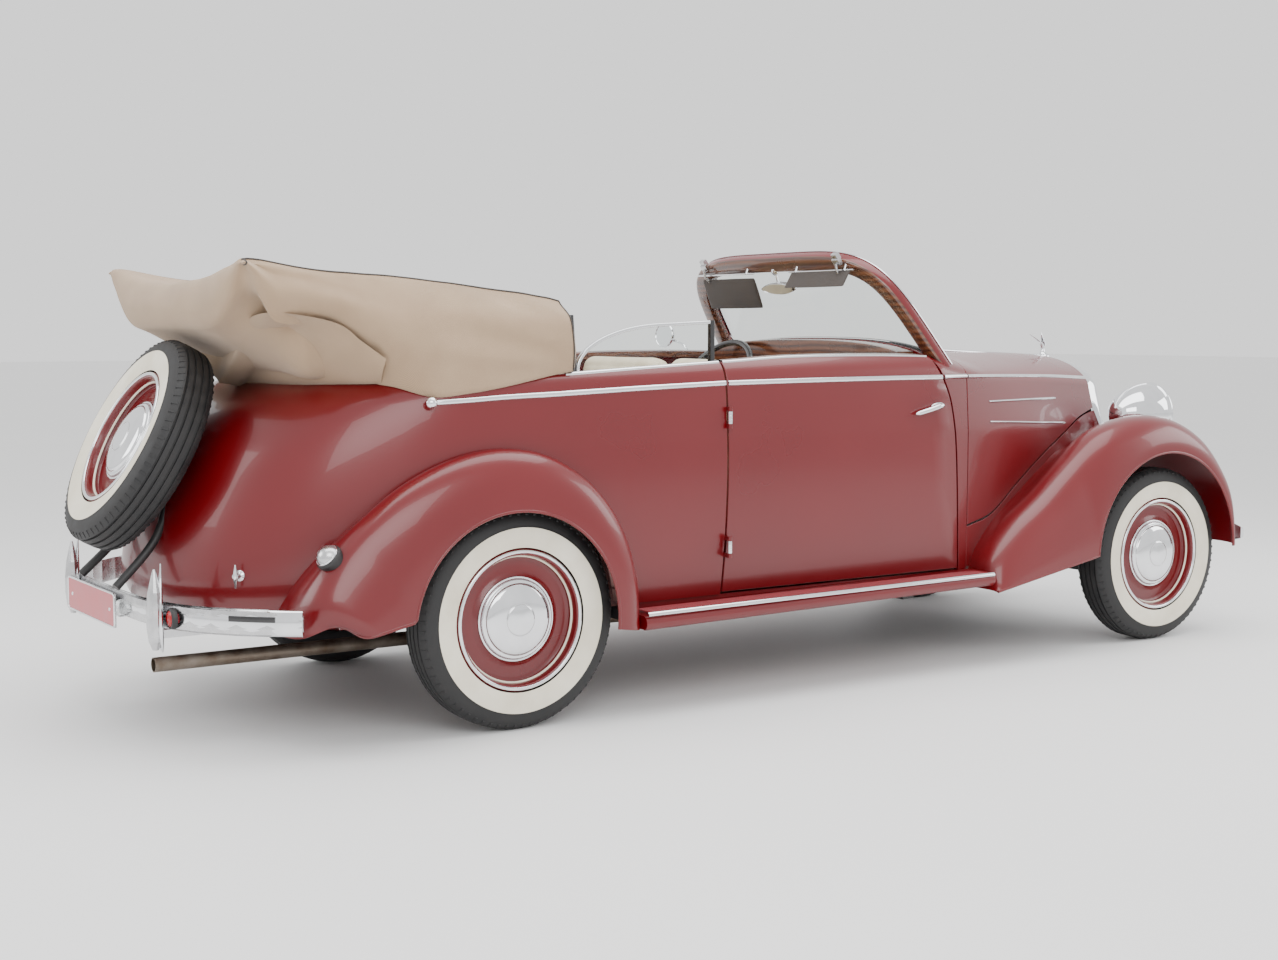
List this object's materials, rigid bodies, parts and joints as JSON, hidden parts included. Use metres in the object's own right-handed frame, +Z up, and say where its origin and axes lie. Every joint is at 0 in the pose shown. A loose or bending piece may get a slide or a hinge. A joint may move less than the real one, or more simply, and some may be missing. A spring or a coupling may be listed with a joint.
{
  "type": "four-seat open tourer car",
  "caption": "Open two-door touring car with rear-hinged doors, lifting bonnet halves, steered front wheels, folded cloth hood and a spare wheel on the tail.",
  "frame": {"origin": "middle of the car's box in plan, on the ground under the tyres", "axes": "+X forwards, +Y to the car's left, +Z up"},
  "size_m": [4.4913, 1.57, 1.4889],
  "materials": {
    "bakelite": "gloss",
    "canvas": "woven",
    "chassis": "satin black",
    "cherry": "deep gloss",
    "chrome": "polished",
    "exhaust": "dull",
    "glass": "clear",
    "iron": "rough",
    "leather": "satin",
    "tyre": "matte rubber",
    "wood": "varnished"
  },
  "bodies": {
    "car_body": {"spare_tyre": "tyre", "spare_wheel": "cherry", "spare_carrier": "chassis", "front_springs": "chassis", "rear_axle": "chassis", "chassis_frame": "chassis", "engine_block": "iron", "exhaust_pipe": "exhaust", "floor_pan": "cherry", "rear_body": "cherry", "scuttle": "cherry", "engine_bay_sides": "cherry", "bonnet_hinge": "chrome", "radiator_grille": "chrome", "door_pillars": "cherry", "front_wing_left": "cherry", "front_wing_right": "cherry", "rear_wing_left": "cherry", "rear_wing_right": "cherry", "running_boards": "cherry", "windscreen_frame": "cherry", "windscreen_glass": "glass", "quarter_windows": "glass", "headlamps": "chrome", "front_bumper": "chrome", "rear_bumper": "chrome", "dashboard": "wood", "front_seats": "leather", "rear_seat": "leather", "soft_top": "canvas"},
    "wheel_front_left_spin": {"tyre_front_left": "tyre", "wheel_front_left": "cherry"},
    "wheel_front_right_spin": {"tyre_front_right": "tyre", "wheel_front_right": "cherry"},
    "wheel_rear_left_spin": {"tyre_rear_left": "tyre", "wheel_rear_left": "cherry"},
    "wheel_rear_right_spin": {"tyre_rear_right": "tyre", "wheel_rear_right": "cherry"},
    "steer_left": {"knuckle_left": "chassis"},
    "steer_right": {"knuckle_right": "chassis"},
    "hand_wheel": {"steering_wheel": "bakelite"},
    "left_door": {"door_left": "cherry"},
    "right_door": {"door_right": "cherry"},
    "left_bonnet": {"bonnet_left": "cherry"},
    "right_bonnet": {"bonnet_right": "cherry"}
  },
  "joints": [
    {"name": "wheel_front_left_turn", "type": "hinge", "parent": "steer_left", "child": "wheel_front_left_spin", "pos_m": [1.72027, 0.65, 0.335], "axis": [0, 1, 0], "continuous": true},
    {"name": "wheel_front_right_turn", "type": "hinge", "parent": "steer_right", "child": "wheel_front_right_spin", "pos_m": [1.72027, -0.65, 0.335], "axis": [0, 1, 0], "continuous": true},
    {"name": "wheel_rear_left_turn", "type": "hinge", "parent": "car_body", "child": "wheel_rear_left_spin", "pos_m": [-1.12473, 0.65, 0.335], "axis": [0, 1, 0], "continuous": true},
    {"name": "wheel_rear_right_turn", "type": "hinge", "parent": "car_body", "child": "wheel_rear_right_spin", "pos_m": [-1.12473, -0.65, 0.335], "axis": [0, 1, 0], "continuous": true},
    {"name": "steer_left_turn", "type": "hinge", "parent": "car_body", "child": "steer_left", "pos_m": [1.72027, 0.558, 0.335], "axis": [0, 0, 1], "range_deg": [-27, 27]},
    {"name": "steer_right_turn", "type": "hinge", "parent": "car_body", "child": "steer_right", "pos_m": [1.72027, -0.558, 0.335], "axis": [0, 0, 1], "range_deg": [-27, 27]},
    {"name": "hand_wheel_turn", "type": "hinge", "parent": "car_body", "child": "hand_wheel", "pos_m": [0.33427, 0.342, 0.983], "axis": [-0.8192, 0, 0.5736], "range_deg": [-432, 432]},
    {"name": "door_left_swing", "type": "hinge", "parent": "car_body", "child": "left_door", "pos_m": [-0.33673, 0.694, 0.34], "axis": [0, 0, 1], "range_deg": [0, 65]},
    {"name": "door_right_swing", "type": "hinge", "parent": "car_body", "child": "right_door", "pos_m": [-0.33673, -0.694, 0.34], "axis": [0, 0, -1], "range_deg": [0, 65]},
    {"name": "bonnet_left_lift", "type": "hinge", "parent": "car_body", "child": "left_bonnet", "pos_m": [0.77527, 0, 1.141], "axis": [0.9988, 0, -0.0493], "range_deg": [0, 58]},
    {"name": "bonnet_right_lift", "type": "hinge", "parent": "car_body", "child": "right_bonnet", "pos_m": [0.77527, 0, 1.141], "axis": [-0.9988, 0, 0.0493], "range_deg": [0, 58]}
  ],
  "couplings": [
    {"joint": "steer_right_turn", "follows": "steer_left_turn", "ratio": 1},
    {"joint": "hand_wheel_turn", "follows": "steer_left_turn", "ratio": 16}
  ]
}
